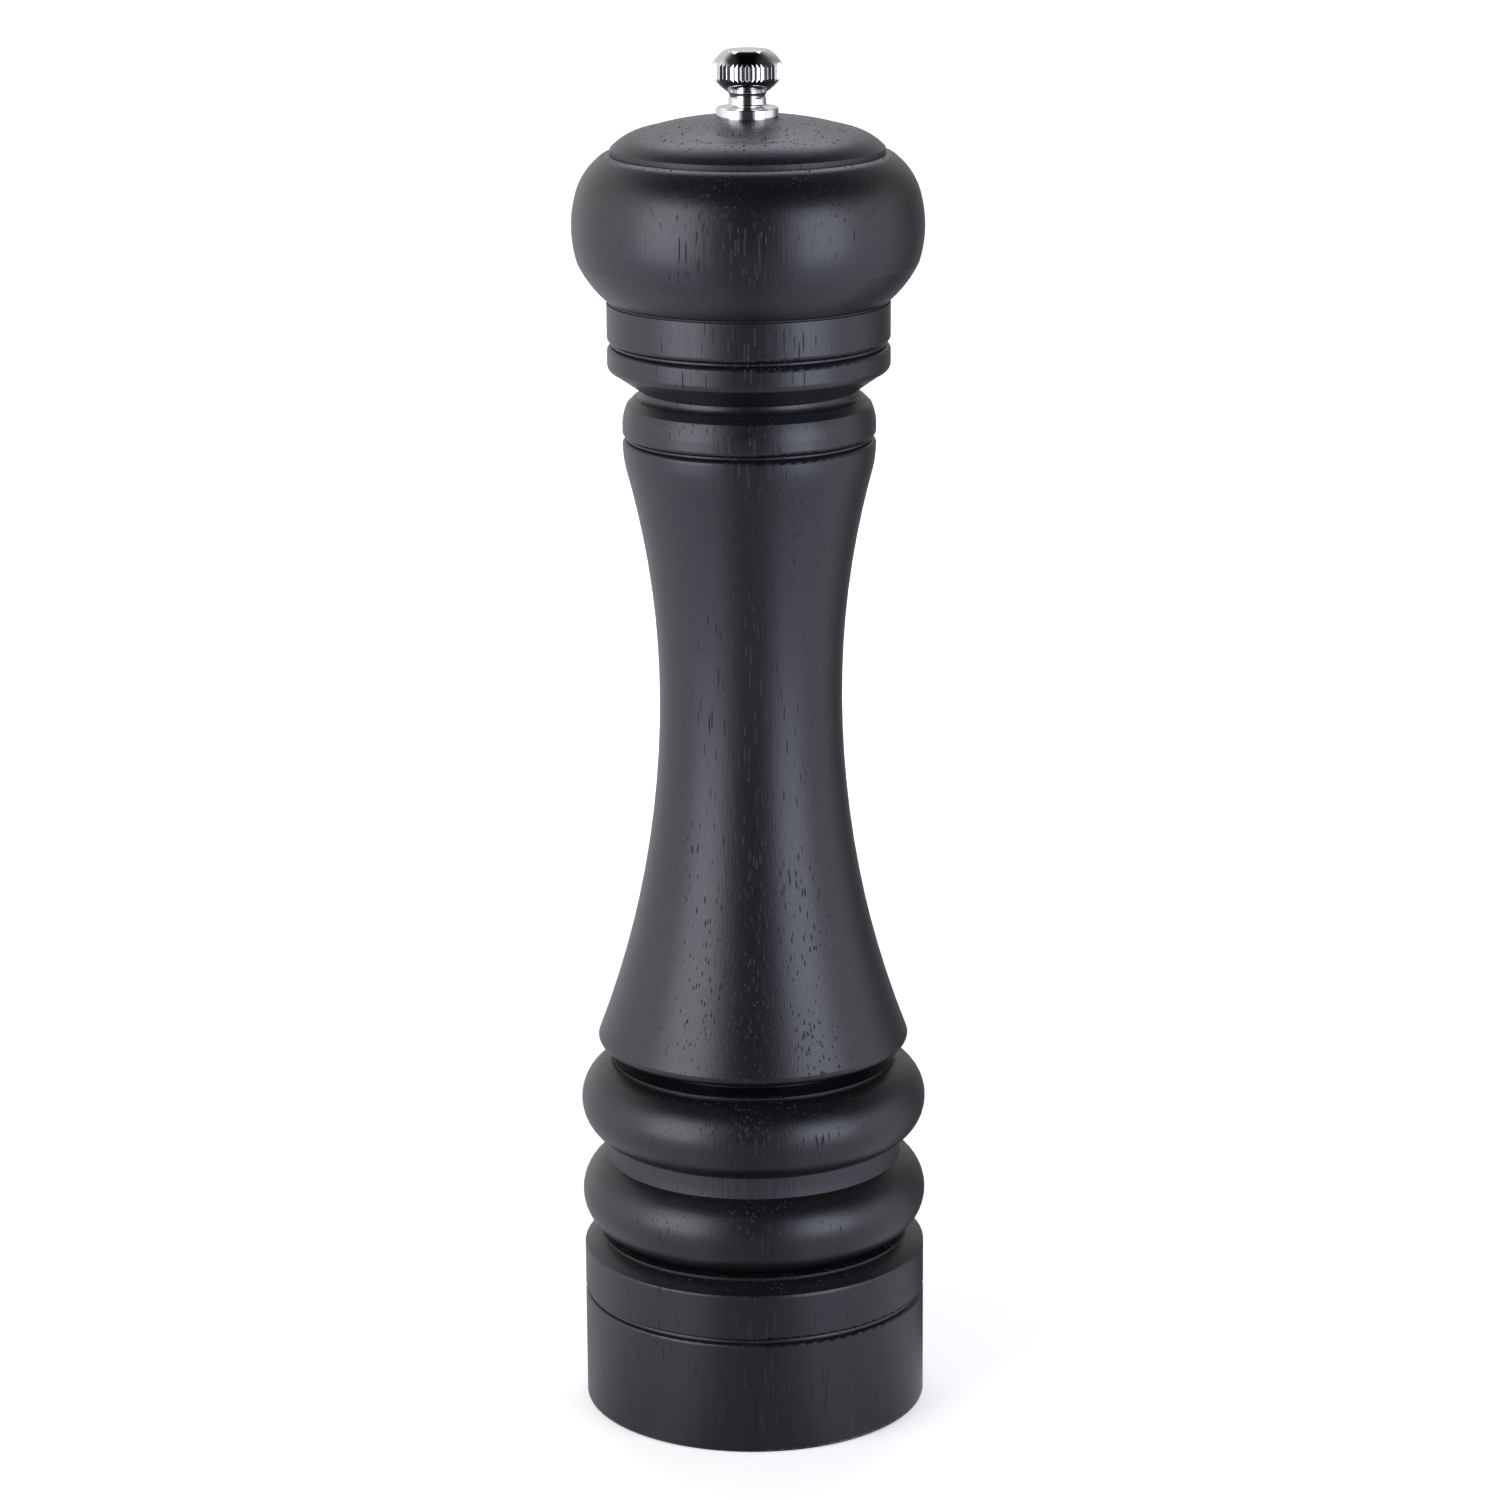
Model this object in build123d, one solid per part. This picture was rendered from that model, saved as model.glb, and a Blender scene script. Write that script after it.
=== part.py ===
from build123d import *
import math
import os

os.makedirs("parts", exist_ok=True)

# A turned wooden pepper mill, in millimetres. +Z is up, the origin is the middle of the face it stands on.
# Paths go round half a section as (radius, height). A third number is how far an arc bows out of its chord.

mill_height = 250.0

# Foot of the body
foot_radius = 31.4
foot_height = 32.95
foot_edge = 0.8
foot_groove_height = 21.35
foot_groove_round = 0.55
foot_groove_flat = 0.85
foot_shoulder_width = 3.2
foot_shoulder_drop = 2.7
foot_shoulder_bow = 0.2
foot_fillet_drop = 0.9
foot_fillet_height = 0.45
foot_rim = 6.4

# Edges broken with sandpaper, and the small bead at the bottom of each groove
arris_height = 0.5
arris_width = 0.1
groove_bead = 0.2

# Two large beads with a plain ring between them
bead_proud = 0.2
bead_round = 7.6
bead_seat_depth = 5.4
bead_ring_depth = 4.8
bead_ring_height = 3.7
bead_ring_flare = 0.2
bead_ring_flare_height = 1.8

# Undercut slot over the beads, skirt, waist and neck
slot_fillet_inset = 0.5
slot_fillet_height = 0.5
slot_depth = 5.0
slot_slope = 0.4
slot_height = 3.2
skirt_inset = 3.04
skirt_edge = 1.8
waist_radius = 16.47
waist_wall = 4.47
waist_share = 0.582
waist_points = 4
neck_radius = 22.58
neck_groove_round = 0.8
neck_groove_flat = 0.7
neck_roll_length = 4.65
neck_roll_inset = 0.6

# Small bead, cove and collar under the head
small_bead_height = 7.7
small_bead_side = 2.8
small_bead_edge_drop = 1.8
small_bead_edge_inset = 0.78
small_bead_bow = 0.14
small_bead_top_drop = 0.5
small_bead_top_inset = 2.1
cove_radius = 19.5
cove_wall = 4.2
cove_width = 1.0
cove_bow = 0.26
cove_rise = 4.2
collar_radius = 25.15
collar_edge_inset = 1.05
collar_edge_height = 1.4
collar_groove_rise = 5.0
collar_groove_round = 0.9
collar_groove_flat = 0.75
collar_height = 12.3

# Head: bulb, lip and low dome
bulb_foot_inset = 0.25
bulb_foot_edge = 0.4
bulb_foot_edge_inset = 0.1
bulb_low_bow = 0.46
bulb_inset = 0.24
bulb_rise = 12.9
bulb_flat = 5.7
bulb_low_inset = 0.94
bulb_high_inset = 0.62
bulb_high_bow = 0.62
lip_rise = 26.15
lip_width = 0.7
lip_round_width = 1.75
lip_round_drop = 1.05
lip_bow = 0.15
dome_inset = 6.96
dome_step = 0.95
dome_rise = 32.4
dome_shoulder_inset = 6.1
dome_shoulder_drop = 2.1
dome_shoulder_bow = 0.57
dome_bow = 0.44

# Tenon and mouth
tenon_length = 15.0
tenon_chamfer = 0.8
tenon_room = 1.8
mouth_chamfer = 0.6

# Spindle
shaft_width = 5.0
shaft_corner = 0.3
shaft_chamfer = 0.4
thread_radius = 2.0
thread_length = 17.6
thread_reach = 8.0
stub_radius = 2.0
stub_length = 2.8
clip_bite = 0.5
clip_land = 1.6
clip_thickness = 0.6
clip_mouth = 2.4

# Adjusting knob
knob_height = 12.0
knob_radius = 6.2
knob_flutes = 46
knob_flute_depth = 0.32
knob_flute_flat = 0.06
knob_band_bottom = 7.1
knob_band_top = 9.2
knob_shoulder_bow = 0.24
knob_rim_radius = 3.9
knob_rim_drop = 0.3
knob_neck_wall = 1.1
knob_neck_ring = 0.15
knob_neck_ring_top = 3.4
knob_neck_ring_edge = 0.25
knob_neck_flare = 0.3
knob_neck_top = 4.45
knob_neck_bow = 0.2
knob_flange_radius = 5.5
knob_flange_side = 1.5
knob_flange_height = 1.8
knob_flange_edge = 0.3
knob_flange_bow = 0.08
knob_fillet_width = 0.8
knob_fillet_low = 0.2
knob_fillet_high = 0.8
knob_fillet_bow = -0.22
knob_bore_spare = 1.6

# Burrs
burr_bottom = 7.2
stator_height = 11.0
stator_grind_wall = 6.1
stator_feed_wall = 5.2
stator_teeth = 24
stator_tooth_depth = 1.0
stator_grind_height = 3.5
stator_slant = 6.0
rotor_height = 9.0
rotor_teeth = 14
rotor_tooth_depth = 1.3
rotor_top_tooth_depth = 2.0
rotor_twist = 36.0
rotor_steps = 3
rotor_spring_land = 0.85
rotor_washer_land = 1.3
rotor_washer_thickness = 0.8

# Bridge, bush and spring
bridge_thickness = 1.5
bridge_legs = 3
bridge_leg_width = 4.5
bridge_leg_root = 1.0
bridge_rise = 8.5
hub_wall = 2.9
bush_wall = 0.85
bush_flange = 1.5
bush_flange_height = 1.2
bush_above_hub = 0.8
spring_washer_thickness = 0.6
spring_room = 0.95
spring_wire = 0.9
spring_turns = 4.5
spring_end_gap = 0.5

# Base plate and fasteners
plate_thickness = 1.2
plate_land = 6.0
plate_outlet = 1.2
plate_screw_edge = 3.4
plate_screws = 3
plate_screw_length = 11.0
screw_radius = 1.4
screw_head_radius = 2.6
screw_slot_length = 3.4
screw_slot_width = 0.7
screw_slot_depth = 0.7
rivet_edge = 2.2
rivet_radius = 1.0
rivet_head_radius = 1.6
rivet_depth = 4.0

# Head fittings
drive_plate_radius = 11.5
drive_plate_thickness = 1.5
drive_screw_edge = 3.3
drive_screws = 2
drive_screw_length = 8.0
head_bush_step = 0.7
head_bush_length = 5.6
knob_washer_step = 0.4
knob_washer_thickness = 0.8
lock_ring_wall = 1.44
lock_ring_height = 1.2

# Clearances
turning_gap = 0.3
leg_gap = 0.4
running_gap = 0.06
seat_gap = 0.08
key_gap = 0.1
grind_gap = 0.3

root_half = math.sqrt(0.5)

# Radii that follow
bead_radius = foot_radius + bead_proud
skirt_radius = foot_radius - skirt_inset
bulb_radius = foot_radius - bulb_inset
dome_radius = bulb_radius - dome_inset
recess_radius = foot_radius - foot_rim
stator_radius = recess_radius - plate_land
grind_radius = stator_radius - stator_grind_wall
rotor_radius = grind_radius - grind_gap
bead_seat_radius = bead_radius - bead_seat_depth
bead_ring_radius = bead_radius - bead_ring_depth
chamber_radius = waist_radius - waist_wall
mouth_radius = cove_radius - cove_wall
tenon_radius = mouth_radius - turning_gap
bore_radius = shaft_width * root_half + turning_gap
key_width = shaft_width + 2 * key_gap
key_radius = key_width * root_half
bush_radius = key_radius + bush_wall
bush_flange_radius = bush_radius + bush_flange
hub_radius = bush_radius + hub_wall
bridge_ring_inner = chamber_radius - leg_gap
spring_radius = key_radius + spring_room + spring_wire / 2
rotor_top_radius = spring_radius + spring_wire / 2 + rotor_spring_land + rotor_top_tooth_depth
thread_bore_radius = thread_radius + running_gap
head_bush_radius = bore_radius + head_bush_step
knob_washer_radius = head_bush_radius + knob_washer_step
lock_ring_radius = thread_bore_radius + lock_ring_wall
clip_groove_radius = stub_radius - clip_bite
clip_radius = stub_radius + clip_land
plate_screw_circle = recess_radius - plate_screw_edge
rivet_circle = stator_radius - rivet_edge
drive_screw_circle = drive_plate_radius - drive_screw_edge


# How far up or down from a bead's middle its round meets the given radius
def bead_rise(radius):
    return math.sqrt(bead_round**2 - (radius - bead_radius + bead_round) ** 2)


# Heights that follow, up from the table and down from the knob's top; the waist takes what is left
lower_bead_height = foot_height + bead_rise(bead_seat_radius)
upper_bead_height = lower_bead_height + 2 * bead_rise(bead_ring_radius) + bead_ring_height
bead_top = upper_bead_height + bead_rise(bead_seat_radius)
skirt_bottom = bead_top + slot_height
dome_top = mill_height - knob_height
collar_top = dome_top - dome_rise
collar_bottom = collar_top - collar_height
cove_bottom = collar_bottom - cove_rise
neck_height = cove_bottom - small_bead_height
waist_height = skirt_bottom + waist_share * (neck_height - skirt_bottom)
tenon_bottom = collar_top - tenon_length
mouth_bottom = tenon_bottom - tenon_room
washer_bottom = dome_top - knob_washer_thickness

# Heights of the mechanism
plate_bottom = burr_bottom - plate_thickness
rotor_top = burr_bottom + rotor_height
stator_top = burr_bottom + stator_height
bridge_top = stator_top + bridge_thickness
hub_bottom = stator_top + bridge_rise
hub_top = hub_bottom + bridge_thickness
bush_top = hub_top + bush_above_hub
bush_bottom = hub_bottom - bush_flange_height
spring_top = bush_bottom - spring_washer_thickness
clip_top = burr_bottom - rotor_washer_thickness
clip_bottom = clip_top - clip_thickness


def at(radius, height):
    return Vector(radius, 0, height)


# A step's third value bows the line into an arc, or lists the points that a smooth sweep goes through
def arc_or_line(start, step):
    begin = at(*start[:2])
    end = at(*step[:2])
    if len(step) == 2:
        return Edge.make_line(begin, end)
    if isinstance(step[2], list):
        return Edge.make_spline([begin] + [at(*point) for point in step[2]] + [end])
    chord = end - begin
    outward = Vector(chord.Z, 0, -chord.X).normalized()
    return Edge.make_three_point_arc(begin, (begin + end) * 0.5 + outward * step[2], end)


def turned(path):
    edges = [arc_or_line(start, step) for start, step in zip(path, path[1:] + path[:1])]
    return revolve(Face(Wire(edges)), Axis.Z)


def ring(inner, outer, low, high):
    return turned([(inner, low), (outer, low), (outer, high), (inner, high)])


def rod(radius, low, high):
    return ring(0, radius, low, high)


def square_bar(width, low, high):
    return Pos(0, 0, (low + high) / 2) * Box(width, width, high - low)


def around(shape, count, circle, height, turn=0.0):
    return [Rot(0, 0, turn + 360 * i / count) * Pos(circle, 0, height) * shape for i in range(count)]


def star(teeth, tip, valley, height, turn=0.0):
    points = []
    for corner in range(2 * teeth):
        angle = math.radians(turn + 180 * corner / teeth)
        radius = valley if corner % 2 else tip
        points.append((radius * math.cos(angle), radius * math.sin(angle), height))
    return Wire.make_polygon(points, close=True)


def quarter_bow(radius):
    return radius * (1 - root_half)


# The bow of an arc that stands upright at the first point
def upright_bow(upright, other):
    out = other[0] - upright[0]
    along = other[1] - upright[1]
    return math.hypot(out, along) / 2 * math.tan(math.atan2(abs(out), abs(along)) / 2)


# Points up to the other end on an arc that stands upright at the first point
def upright_points(upright, other, count):
    out = other[0] - upright[0]
    along = other[1] - upright[1]
    curve = (out**2 + along**2) / (2 * out)
    reaches = [along * step / count for step in range(1, count)]
    return [(upright[0] + curve - math.sqrt(curve**2 - reach**2), upright[1] + reach) for reach in reaches]


# A groove between two quarter rounds, with a small bead at its bottom
def groove(radius, height, reach, flat):
    bow = quarter_bow(reach)
    low = height - flat / 2
    high = height + flat / 2
    floor = radius - reach
    return [(radius, low - reach), (floor, low, bow), (floor, high, groove_bead), (radius, high + reach, bow)]


def bead(height, low_radius, high_radius):
    low = (low_radius, height - bead_rise(low_radius))
    high = (high_radius, height + bead_rise(high_radius))
    chord = math.dist(low, high)
    return [low, high + (bead_round - math.sqrt(bead_round**2 - (chord / 2) ** 2),)]


def body_outline():
    shoulder_radius = foot_radius - foot_shoulder_width
    shoulder_top = foot_height - foot_fillet_drop
    wall_end = (foot_radius, foot_height - foot_shoulder_drop - arris_height)
    wall_edge = (foot_radius - arris_width, foot_height - foot_shoulder_drop)
    flare_radius = bead_ring_radius + bead_ring_flare
    flare_bottom = lower_bead_height + bead_rise(flare_radius)
    flare_top = (bead_ring_radius, flare_bottom + bead_ring_flare_height)
    fillet_radius = bead_seat_radius - slot_fillet_inset
    fillet_top = bead_top + slot_fillet_height
    slot_radius = bead_seat_radius - slot_depth
    skirt = (skirt_radius, skirt_bottom + skirt_edge)
    waist = (waist_radius, waist_height)
    roll_top = neck_height - neck_groove_flat / 2 - neck_groove_round
    roll = (neck_radius - neck_roll_inset, roll_top - neck_roll_length)
    roll_end = (neck_radius, roll_top)
    below = upright_points(waist, skirt, waist_points)
    above = upright_points(waist, roll, waist_points)
    bead_side = (neck_radius, neck_height + small_bead_side)
    bead_edge = (neck_radius - small_bead_edge_inset, cove_bottom - small_bead_edge_drop)
    bead_end = (neck_radius - small_bead_top_inset, cove_bottom - small_bead_top_drop)
    cone_end = (collar_radius - collar_edge_inset, collar_bottom)
    collar_side = (collar_radius, collar_bottom + collar_edge_height)
    path = [(0, 0), (foot_radius - foot_edge, 0), (foot_radius, foot_edge, quarter_bow(foot_edge))]
    path += groove(foot_radius, foot_groove_height, foot_groove_round, foot_groove_flat)
    path += [
        wall_end,
        wall_edge + (upright_bow(wall_end, wall_edge),),
        (shoulder_radius, shoulder_top, foot_shoulder_bow),
        (shoulder_radius, shoulder_top + foot_fillet_height),
    ]
    path += bead(lower_bead_height, bead_seat_radius, flare_radius)
    path += [flare_top + (-upright_bow(flare_top, (flare_radius, flare_bottom)),)]
    path += bead(upper_bead_height, bead_ring_radius, bead_seat_radius)
    path += [
        (fillet_radius, bead_top),
        (fillet_radius, fillet_top),
        (slot_radius, fillet_top + slot_slope),
        (slot_radius, skirt_bottom),
        (skirt_radius - skirt_edge, skirt_bottom),
        skirt + (quarter_bow(skirt_edge),),
        roll + (below[::-1] + [waist] + above,),
        roll_end + (upright_bow(roll_end, roll),),
    ]
    path += groove(neck_radius, neck_height, neck_groove_round, neck_groove_flat)[1:]
    path += [
        bead_side,
        bead_edge + (small_bead_bow,),
        bead_end,
        (cove_radius, cove_bottom + cove_width, -cove_bow),
        cone_end,
        collar_side + (upright_bow(collar_side, cone_end),),
    ]
    collar_groove_height = collar_bottom + collar_groove_rise
    path += groove(collar_radius, collar_groove_height, collar_groove_round, collar_groove_flat)
    return path + [(collar_radius, collar_top), (0, collar_top)]


# A countersunk shank that points up from its head's face; extra widens it into its own hole
def countersunk(radius, head_radius, length, extra=0.0):
    path = [
        (0, 0),
        (head_radius + extra, 0),
        (radius + extra, head_radius - radius),
        (radius + extra, length - radius),
        (0, length + extra),
    ]
    return turned(path)


def screw(length):
    slot = Box(screw_slot_length, screw_slot_width, 2 * screw_slot_depth)
    return countersunk(screw_radius, screw_head_radius, length) - slot - Rot(0, 0, 90) * slot


def screw_hole(length):
    return countersunk(screw_radius, screw_head_radius, length, seat_gap)


def rivet(extra=0.0):
    length = bridge_thickness + rivet_depth
    return Rot(180, 0, 0) * countersunk(rivet_radius, rivet_head_radius, length, extra)


def rivets(extra=0.0):
    return around(rivet(extra), bridge_legs, rivet_circle, bridge_top, 180 / bridge_legs)


def plate_screw_holes():
    return around(screw_hole(plate_screw_length), plate_screws, plate_screw_circle, plate_bottom)


def drive_screw_holes():
    return around(screw_hole(drive_screw_length), drive_screws, drive_screw_circle, tenon_bottom)


def make_body():
    hollow = [
        (0, 0),
        (recess_radius, 0),
        (recess_radius, burr_bottom),
        (stator_radius + seat_gap, burr_bottom),
        (stator_radius + seat_gap, bridge_top),
        (chamber_radius, bridge_top),
        (chamber_radius, mouth_bottom),
        (mouth_radius, mouth_bottom),
        (mouth_radius, collar_top - mouth_chamfer),
        (mouth_radius + mouth_chamfer, collar_top),
        (0, collar_top),
    ]
    wood = turned(body_outline()) - turned(hollow)
    for hole in plate_screw_holes():
        wood -= hole
    return wood


def make_head():
    foot = collar_radius - bulb_foot_inset
    bulb_middle = collar_top + bulb_rise
    lip_height = collar_top + lip_rise
    lip_radius = dome_radius + lip_width
    dome_low = lip_height + dome_step
    shoulder = (dome_radius - dome_shoulder_inset, dome_top - dome_shoulder_drop, dome_shoulder_bow)
    path = [
        (0, tenon_bottom),
        (tenon_radius - tenon_chamfer, tenon_bottom),
        (tenon_radius, tenon_bottom + tenon_chamfer),
        (tenon_radius, collar_top),
        (foot, collar_top),
        (foot + bulb_foot_edge_inset, collar_top + bulb_foot_edge),
        (bulb_radius - bulb_low_inset, bulb_middle - bulb_flat, bulb_low_bow),
        (bulb_radius - bulb_high_inset, bulb_middle + bulb_flat, (bulb_low_inset + bulb_high_inset) / 2),
        (lip_radius + lip_round_width, lip_height - lip_round_drop, bulb_high_bow),
        (lip_radius, lip_height, lip_bow),
        (dome_radius, lip_height),
        (dome_radius, dome_low),
        shoulder,
        (knob_flange_radius, dome_top, dome_bow),
        (0, dome_top),
    ]
    wood = turned(path)
    wood -= rod(bore_radius, tenon_bottom, dome_top)
    wood -= rod(head_bush_radius + seat_gap, washer_bottom - head_bush_length, dome_top)
    wood -= rod(knob_washer_radius + seat_gap, washer_bottom, dome_top)
    wood -= rod(drive_plate_radius + seat_gap, tenon_bottom, tenon_bottom + drive_plate_thickness)
    for hole in drive_screw_holes():
        wood -= hole
    return wood


def make_adjusting_knob():
    flange_top = dome_top + knob_flange_height
    neck = thread_bore_radius + knob_neck_wall
    ring_radius = neck + knob_neck_ring
    ring_top = dome_top + knob_neck_ring_top
    neck_top = dome_top + knob_neck_top
    top = dome_top + knob_height
    rim = top - knob_rim_drop
    cap_bow = math.hypot(knob_rim_radius, knob_rim_drop) / 2
    cap_bow *= math.tan(math.atan2(knob_rim_drop, knob_rim_radius) / 2)
    path = [
        (0, dome_top),
        (knob_flange_radius, dome_top),
        (knob_flange_radius, dome_top + knob_flange_side),
        (knob_flange_radius - knob_flange_edge, flange_top, knob_flange_bow),
        (ring_radius + knob_fillet_width, flange_top + knob_fillet_low),
        (ring_radius, flange_top + knob_fillet_high, knob_fillet_bow),
        (ring_radius, ring_top),
        (neck, ring_top + knob_neck_ring_edge),
        (neck + knob_neck_flare, neck_top),
        (knob_radius, dome_top + knob_band_bottom, knob_neck_bow),
        (knob_radius, dome_top + knob_band_top),
        (knob_rim_radius, rim, knob_shoulder_bow),
        (0, top, cap_bow),
    ]
    valley = knob_radius - knob_flute_depth
    flutes = Face(star(knob_flutes, knob_radius + knob_flute_flat, valley, dome_top - knob_height))
    knob = turned(path) & extrude(flutes, 3 * knob_height, dir=(0, 0, 1))
    knob -= rod(thread_bore_radius, dome_top, dome_top + thread_reach + knob_bore_spare)
    return knob - rod(lock_ring_radius + seat_gap, dome_top, dome_top + lock_ring_height + seat_gap)


def make_knob_lock_ring():
    return ring(thread_bore_radius, lock_ring_radius, dome_top + seat_gap, dome_top + lock_ring_height)


def make_knob_washer():
    return ring(thread_radius + turning_gap, knob_washer_radius, washer_bottom, dome_top)


def make_head_bush():
    return ring(thread_bore_radius, head_bush_radius, washer_bottom - head_bush_length, washer_bottom)


def make_drive_plate():
    high = tenon_bottom + drive_plate_thickness
    plate = rod(drive_plate_radius, tenon_bottom, high) - square_bar(key_width, tenon_bottom, high)
    for hole in drive_screw_holes():
        plate -= hole
    return plate


def make_drive_plate_screws():
    return around(screw(drive_screw_length), drive_screws, drive_screw_circle, tenon_bottom)


def make_shaft():
    top = dome_top + thread_reach
    shoulder = top - thread_length
    stub_low = clip_top - stub_length
    square_low = burr_bottom + key_gap
    bar = square_bar(shaft_width, square_low, shoulder)
    bar = fillet(bar.edges().filter_by(Axis.Z), shaft_corner)
    stub = [
        (0, stub_low),
        (stub_radius - shaft_chamfer, stub_low),
        (stub_radius, stub_low + shaft_chamfer),
        (stub_radius, clip_bottom - running_gap),
        (clip_groove_radius, clip_bottom - running_gap),
        (clip_groove_radius, clip_top),
        (stub_radius, clip_top),
        (stub_radius, square_low),
        (0, square_low),
    ]
    thread = [
        (0, shoulder),
        (thread_radius, shoulder),
        (thread_radius, top - shaft_chamfer),
        (thread_radius - shaft_chamfer, top),
        (0, top),
    ]
    return bar + turned(stub) + turned(thread)


def make_rotor_burr():
    sections = []
    for step in range(rotor_steps + 1):
        share = step / rotor_steps
        tip = rotor_radius + (rotor_top_radius - rotor_radius) * share
        depth = rotor_tooth_depth + (rotor_top_tooth_depth - rotor_tooth_depth) * share
        height = burr_bottom + rotor_height * share
        sections.append(star(rotor_teeth, tip, tip - depth, height, rotor_twist * share))
    return Solid.make_loft(sections, ruled=True) - square_bar(key_width, burr_bottom, rotor_top)


def make_rotor_washer():
    return ring(stub_radius + key_gap, key_radius + rotor_washer_land, clip_top, burr_bottom)


def make_rotor_clip():
    clip = ring(clip_groove_radius + running_gap, clip_radius, clip_bottom, clip_top)
    mouth = Box(2 * clip_radius, clip_mouth, 2 * clip_thickness)
    return clip - Pos(clip_radius, 0, clip_top) * mouth


def make_stator_burr():
    taper = (rotor_radius - rotor_top_radius) / rotor_height
    narrow = grind_radius - taper * stator_grind_height
    feed = stator_radius - stator_feed_wall
    teeth = stator_teeth
    depth = stator_tooth_depth
    sections = [
        star(teeth, grind_radius + depth, grind_radius, burr_bottom),
        star(teeth, narrow + depth, narrow, burr_bottom + stator_grind_height, -stator_slant),
        star(teeth, feed + depth, feed, stator_top, -2 * stator_slant),
    ]
    burr = rod(stator_radius, burr_bottom, stator_top) - Solid.make_loft(sections, ruled=True)
    for hole in rivets(seat_gap):
        burr -= hole
    return burr


def make_bridge():
    lean = bridge_ring_inner - hub_radius
    leg_inner = bridge_ring_inner - bridge_thickness
    leg_path = [
        (bridge_ring_inner + bridge_leg_root, stator_top),
        (bridge_ring_inner + bridge_leg_root, bridge_top),
        (bridge_ring_inner, bridge_top),
        (hub_radius, hub_top),
        (bush_radius + bridge_leg_root, hub_top),
        (bush_radius + bridge_leg_root, hub_bottom),
        (leg_inner - lean + running_gap, hub_bottom),
        (leg_inner, stator_top),
    ]
    face = Face(Wire.make_polygon([at(*point) for point in leg_path], close=True))
    leg = extrude(face, bridge_leg_width / 2, dir=(0, 1, 0), both=True)
    bridge = ring(bridge_ring_inner, stator_radius, stator_top, bridge_top)
    bridge += rod(hub_radius, hub_bottom, hub_top)
    for place in around(leg, bridge_legs, 0, 0):
        bridge += place
    bridge -= rod(bush_radius + running_gap, hub_bottom, hub_top)
    for hole in rivets(seat_gap):
        bridge -= hole
    return bridge


def make_shaft_bush():
    bush = rod(bush_flange_radius, bush_bottom, hub_bottom) + rod(bush_radius, hub_bottom, bush_top)
    return bush - square_bar(key_width, bush_bottom, bush_top)


def make_spring_washer():
    return ring(bore_radius, bush_flange_radius, spring_top, bush_bottom)


# The end turns lie close and the middle ones open: the wire's height over the burr, and its slope
def spring_rise(turn):
    share = turn / spring_turns
    rise = spring_top - rotor_top - spring_wire
    wave = spring_turns * (spring_wire + spring_end_gap) / rise - 1
    height = rise * (share + wave * math.sin(math.tau * share) / math.tau)
    slope = rise * (1 + wave * math.cos(math.tau * share)) / spring_turns
    return height, slope


def spring_point(turn):
    angle = math.tau * turn
    height = rotor_top + spring_wire / 2 + spring_rise(turn)[0]
    return Vector(spring_radius * math.cos(angle), spring_radius * math.sin(angle), height)


def spring_direction(turn):
    angle = math.tau * turn
    round_trip = math.tau * spring_radius
    slope = spring_rise(turn)[1]
    return Vector(-round_trip * math.sin(angle), round_trip * math.cos(angle), slope).normalized()


# Two arcs that meet smoothly, from one point and direction to another
def biarc(start, start_way, end, end_way):
    across = end - start
    both = start_way + end_way
    square = 2 * (1 - start_way.dot(end_way))
    along = across.dot(both)
    reach = (math.sqrt(along**2 + square * across.dot(across)) - along) / square
    middle = (start + end + (start_way - end_way) * reach) * 0.5
    middle_way = (across - both * reach).normalized()
    return [Edge.make_tangent_arc(start, start_way, middle), Edge.make_tangent_arc(middle, middle_way, end)]


# Least distance between wire points that lie more than half a turn apart, less the wire
def spring_gap():
    per_turn = 40
    count = round(per_turn * spring_turns) + 1
    points = [spring_point(i / per_turn) for i in range(count)]
    apart = [(points[j] - points[i]).length for i in range(count) for j in range(i + per_turn // 2, count)]
    return min(apart) - spring_wire


def make_spring():
    print("spring: least gap to itself", round(spring_gap(), 2), "mm")
    edges = []
    for quarter in range(round(4 * spring_turns)):
        low = quarter / 4
        high = (quarter + 1) / 4
        edges += biarc(spring_point(low), spring_direction(low), spring_point(high), spring_direction(high))
    start = Plane(spring_point(0), z_dir=spring_direction(0))
    return sweep(start * Circle(spring_wire / 2), path=Wire(edges))


def make_base_plate():
    plate = ring(rotor_radius + plate_outlet, recess_radius - turning_gap, plate_bottom, burr_bottom)
    for hole in plate_screw_holes():
        plate -= hole
    return plate


def make_base_plate_screws():
    return around(screw(plate_screw_length), plate_screws, plate_screw_circle, plate_bottom)


pieces = {
    "body": make_body(),
    "head": make_head(),
    "adjusting_knob": make_adjusting_knob(),
    "knob_lock_ring": make_knob_lock_ring(),
    "knob_washer": make_knob_washer(),
    "head_bush": make_head_bush(),
    "drive_plate": make_drive_plate(),
    "drive_plate_screws": make_drive_plate_screws(),
    "shaft": make_shaft(),
    "rotor_burr": make_rotor_burr(),
    "rotor_washer": make_rotor_washer(),
    "rotor_clip": make_rotor_clip(),
    "spring": make_spring(),
    "spring_washer": make_spring_washer(),
    "shaft_bush": make_shaft_bush(),
    "stator_burr": make_stator_burr(),
    "bridge": make_bridge(),
    "bridge_rivets": rivets(),
    "base_plate": make_base_plate(),
    "base_plate_screws": make_base_plate_screws(),
}

for name, piece in pieces.items():
    shape = Compound(children=piece) if isinstance(piece, list) else piece
    export_step(shape, f"parts/{name}.step")
    print(name)
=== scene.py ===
import math

import bpy
from mathutils import Matrix, Vector


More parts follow.
